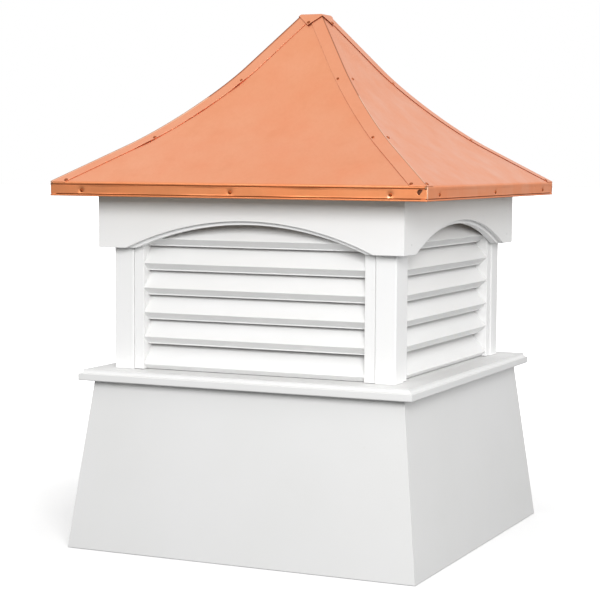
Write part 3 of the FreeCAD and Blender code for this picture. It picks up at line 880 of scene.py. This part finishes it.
def fasciaTab():
    # the fascia's end, folded round the corner and lying on the next side
    bm = bmesh.new()
    low, high = sheetLow.z + cornerTab["footRise"], eaveTop - cornerTab["headDrop"]
    out, front = eaveHalf + cornerTab["sheet"], -eaveHalf + cornerTab["proud"]
    corners = [(eaveHalf - cornerTab["inside"], front), (out, front), (out, -eaveHalf + cornerTab["width"])]
    verts = [bm.verts.new((x, y, low)) for x, y in corners]
    edges = [bm.edges.new(pair) for pair in zip(verts, verts[1:])]
    grown = bmesh.ops.extrude_edge_only(bm, edges=edges)["geom"]
    bmesh.ops.translate(bm, verts=vertsOf(grown), vec=(0, 0, high - low))
    bend = Vector(corners[1])
    folds = [e for e in bm.edges if all((v.co.xy - bend).length < 1e-6 for v in e.verts)]
    roundFolds(bm, folds, cornerTab["reach"], 5)
    bm.normal_update()
    if sum(f.normal.x - f.normal.y for f in bm.faces) < 0:
        bmesh.ops.reverse_faces(bm, faces=bm.faces)
    # painted highlight: the whole tab is lightened for the bright reflection on the corner fold
    highlightLayer = bm.verts.layers.float.new("paintedHighlight")
    for v in bm.verts:
        v[highlightLayer] = cornerTab["paintedHighlight"]
    return bm


for corner, degrees in cornerTurns.items():
    bm = fasciaTab()
    if corner in ("back_right", "front_left"):  # the front and back fascias fold round both their ends
        mirrorAtHip(bm)
    turnMesh(bm, degrees)
    addPiece("fasciaTab_" + corner, bm, stripMaterials, (), cornerTab["sheet"], cap["sharp"])
print("cap and corner tabs made")


screw = {"flange": 0.0036, "head": 0.0026, "height": 0.0015, "flangeHeight": 0.0004, "recess": 0.0007,
         "stem": 0.0008, "steps": 18, "paintedShade": 0.7, "headShade": 0.15, "hipSunk": 0.0004,
         "fasciaSunk": 0.0008, "capSunk": 0.0003}


def screwHead(bm, place, normal, sunk):
    # a low washer head with a hollow top, turned from its section
    one = bmesh.new()
    head, height, flange, flangeTop = (screw[key] for key in ("head", "height", "flange", "flangeHeight"))
    floor = height - screw["recess"]
    section = [(0, floor), (head * 0.35, floor), (head * 0.62, height), (head * 0.88, height * 0.92),
               (head, height * 0.6), (head, flangeTop), (flange * 0.93, flangeTop * 0.8), (flange, 0),
               (flange, -screw["stem"])]
    verts = [one.verts.new((r, 0, z)) for r, z in section]
    edges = [one.edges.new(pair) for pair in zip(verts, verts[1:])]
    bmesh.ops.spin(one, geom=verts + edges, cent=(0, 0, 0), axis=(0, 0, 1), angle=math.tau,
                   steps=screw["steps"], use_merge=True)
    bmesh.ops.remove_doubles(one, verts=one.verts, dist=mergeDistance)
    bmesh.ops.edgeloop_fill(one, edges=[e for e in one.edges if len(e.link_faces) == 1])
    bmesh.ops.recalc_face_normals(one, faces=one.faces)
    shadeLayer = one.verts.layers.float.new("paintedShade")
    # painted shade: the hollow top and the flange base are dark, the rest of the head slightly darkened
    for v in one.verts:
        dirty = v.co.z < flangeTop * 0.9 or v.co.xy.length < head * 0.4
        v[shadeLayer] = screw["paintedShade"] if dirty else screw["headShade"]
    spot = Matrix.Translation(place - normal * sunk) @ normal.to_track_quat("Z", "Y").to_matrix().to_4x4()
    bmesh.ops.transform(one, matrix=spot, verts=one.verts)
    appendMesh(bm, one)


def slopeSpot(height, offset, way, lift):
    half, slope = roofAt(height, lift)
    return Vector((way * (half - offset), -half, height)), Vector((0, -math.sin(slope), math.cos(slope)))


hipScrews, fasciaScrews, capScrews = bmesh.new(), bmesh.new(), bmesh.new()
for side, degrees in sideTurns.items():
    turn = Matrix.Rotation(math.radians(degrees), 3, "Z")
    leftNear = side in ("right", "left")
    for way in (1, -1):
        offsets = hip["nearOffsets"] if way < 0 and leftNear else hip["wideOffsets"]
        for height, offset in zip(hip["screwHeights"], offsets):
            place, normal = slopeSpot(height, offset, way, hip["lay"] + hip["thickness"])
            screwHead(hipScrews, turn @ place, turn @ normal, screw["hipSunk"])
    for across in screwPlaces:
        place = Vector((across, -eaveHalf, fasciaScrew["height"]))
        screwHead(fasciaScrews, turn @ place, turn @ Vector((0, -1, 0)), screw["fasciaSunk"])
    place, normal = slopeSpot(capHigh.z - cap["screwDrop"], 0.0, 0, cap["tabLay"] + cap["thickness"])
    screwHead(capScrews, turn @ place, turn @ normal, screw["capSunk"])
for name, bm in (("hipScrews", hipScrews), ("fasciaScrews", fasciaScrews), ("capScrews", capScrews)):
    addPiece(name, bm, [coppers["screwCopper"]])
print("screws made")


nailMark = {"radius": 0.0021, "segments": 20, "rise": 0.00015, "across": 0.255, "height": 0.551}
marks = bmesh.new()
for degrees in (sideTurns["right"], sideTurns["left"]):
    turn = Matrix.Rotation(math.radians(degrees), 4, "Z")
    for way in (1, -1):
        one = bmesh.new()
        bmesh.ops.create_circle(one, cap_ends=True, segments=nailMark["segments"], radius=nailMark["radius"])
        pushOut(one, one.faces[:], Vector((0, 0, nailMark["rise"])))
        bmesh.ops.recalc_face_normals(one, faces=one.faces)
        spot = Matrix.Translation((way * nailMark["across"], facingLow.y, nailMark["height"]))
        spot = turn @ spot @ Matrix.Rotation(math.radians(90), 4, "X")
        bmesh.ops.transform(one, matrix=spot, verts=one.verts)
        appendMesh(marks, one)
addPiece("nailMarks", marks, [vinyls["fillerVinyl"]])


soffit = {"outer": 0.3462, "radius": 0.0008, "gap": 0.0002}


def soffitBoard():
    bm = bmesh.new()
    inner, outer, radius = -soffitHigh.y, soffit["outer"], soffit["radius"]
    sectionFace(bm, [(inner, soffitLow.z, 0), (outer, soffitLow.z, radius), (outer, soffitHigh.z, radius),
                     (inner, soffitHigh.z, 0)], alongFront, 3)
    mitredBoard(bm, soffit["gap"])
    return bm


for side, degrees in sideTurns.items():
    bm = soffitBoard()
    turnMesh(bm, degrees)
    addPiece("soffitBoard_" + side, bm, [soffitPly], ["soffit_board_" + side])
for corner in cornerTurns:
    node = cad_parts["hip_rafter_" + corner]
    node.data.materials.clear()
    node.data.materials.append(rafterPine)
print("hidden wood made")


ground = {"radius": 40.0, "segments": 64, "drop": 0.0004, "cloudScale": 2.0, "dim": (0.90, 0.90, 0.90, 1),
          "pale": (0.915, 0.915, 0.915, 1), "glowRange": (0.5, 2.5, 0.12, 1.0)}
floorMesh = bpy.data.meshes.new("paleFloor")
bm = bmesh.new()
bmesh.ops.create_circle(bm, cap_ends=True, segments=ground["segments"], radius=ground["radius"])
bmesh.ops.translate(bm, verts=bm.verts, vec=(0, 0, -ground["drop"]))
bm.to_mesh(floorMesh)
bm.free()
floor = bpy.data.objects.new("paleFloor", floorMesh)
bpy.context.scene.collection.objects.link(floor)
floorPaint, tree, shader = newMaterial("floorPaint", Roughness=0.9)
tree.links.new(blended(tree, cloud(tree, ground["cloudScale"]), ground["dim"], ground["pale"]),
               shader.inputs["Base Color"])
shader.inputs["Emission Color"].default_value = (1, 1, 1, 1)
away = addNode(tree, "VectorMath", {0: objectPoint(tree)}, operation="LENGTH").outputs["Value"]
tree.links.new(ranged(tree, away, *ground["glowRange"]), shader.inputs["Emission Strength"])
floorMesh.materials.append(floorPaint)
floor.visible_diffuse = False
floor.visible_glossy = False

sky = {"floorward": 0.20, "seen": 1.0, "lowFade": (-0.12, 0.02, 0.0, 1.0),
       "overhead": (0.15, 0.65, 0.26, 0.92), "behind": (0.2, 0.7, 0.0, 0.92),
       "leftToRight": (-0.65, 0.1, 1.12, 0.82), "beside": (0.55, 0.9, 0.0, 1.0)}
world = bpy.data.worlds.new("studio")
bpy.context.scene.world = world
world.use_nodes = True
tree = world.node_tree
lightNode = tree.nodes["Background"]
lightNode.inputs["Color"].default_value = (1, 1, 1, 1)
towards = addNode(tree, "SeparateXYZ", {"Vector": addNode(tree, "TexCoord").outputs["Generated"]}).outputs
upper = ranged(tree, towards["Z"], *sky["overhead"])
behind = ranged(tree, towards["Y"], *sky["behind"])
sideways = ranged(tree, towards["X"], *sky["leftToRight"])
bright = combined(tree, combined(tree, upper, sideways, "MULTIPLY"), behind, "MAXIMUM")
bright = combined(tree, bright, ranged(tree, towards["X"], *sky["beside"]), "MAXIMUM")
lowFade = ranged(tree, towards["Z"], *sky["lowFade"])
level = addNode(tree, "Mix", {0: lowFade, 2: sky["floorward"], 3: bright}).outputs[0]
seen = addNode(tree, "LightPath").outputs["Is Camera Ray"]  # the backdrop shows plain white
strength = addNode(tree, "Mix", {0: seen, 2: level, 3: sky["seen"]}).outputs[0]
tree.links.new(strength, lightNode.inputs["Strength"])

lampTarget = Vector((0, 0, 0.6))
lamps = {
    "keyLight": {"place": (1.50, -2.60, 1.50), "size": 1.1, "power": 58.0},
    "fillLight": {"place": (-1.0, -3.15, 1.55), "size": 1.1, "power": 19.0},
    "sideLight": {"place": (3.0, 0.6, 1.05), "size": 1.2, "power": 12.5}}
for name, lamp in lamps.items():
    data = bpy.data.lights.new(name, "AREA")
    data.size = lamp["size"]
    data.energy = lamp["power"]
    holder = bpy.data.objects.new(name, data)
    place = Vector(lamp["place"])
    aim = (lampTarget - place).to_track_quat("-Z", "Y")
    holder.matrix_world = Matrix.Translation(place) @ aim.to_matrix().to_4x4()
    bpy.context.scene.collection.objects.link(holder)

view = {"place": (1.3206, -2.9698, 0.6927), "yaw": 24.432, "pitch": 4.608, "roll": 0.346,
        "lens": 105.57, "sensor": 36.0}
yaw, pitch, roll = (math.radians(view[key]) for key in ("yaw", "pitch", "roll"))
forward = Vector((-math.sin(yaw) * math.cos(pitch), math.cos(yaw) * math.cos(pitch), -math.sin(pitch)))
across = forward.cross(Vector((0, 0, 1))).normalized()
upward = across.cross(forward)
right = across * math.cos(roll) + upward * math.sin(roll)
top = upward * math.cos(roll) - across * math.sin(roll)
cameraData = bpy.data.cameras.new("camera")
cameraData.lens = view["lens"]
cameraData.sensor_width = view["sensor"]
camera = bpy.data.objects.new("camera", cameraData)
camera.matrix_world = Matrix.Translation(view["place"]) @ Matrix((right, top, -forward)).transposed().to_4x4()
bpy.context.scene.collection.objects.link(camera)
bpy.context.scene.camera = camera
bpy.context.scene.view_settings.view_transform = "Standard"
print("floor, light and camera placed")
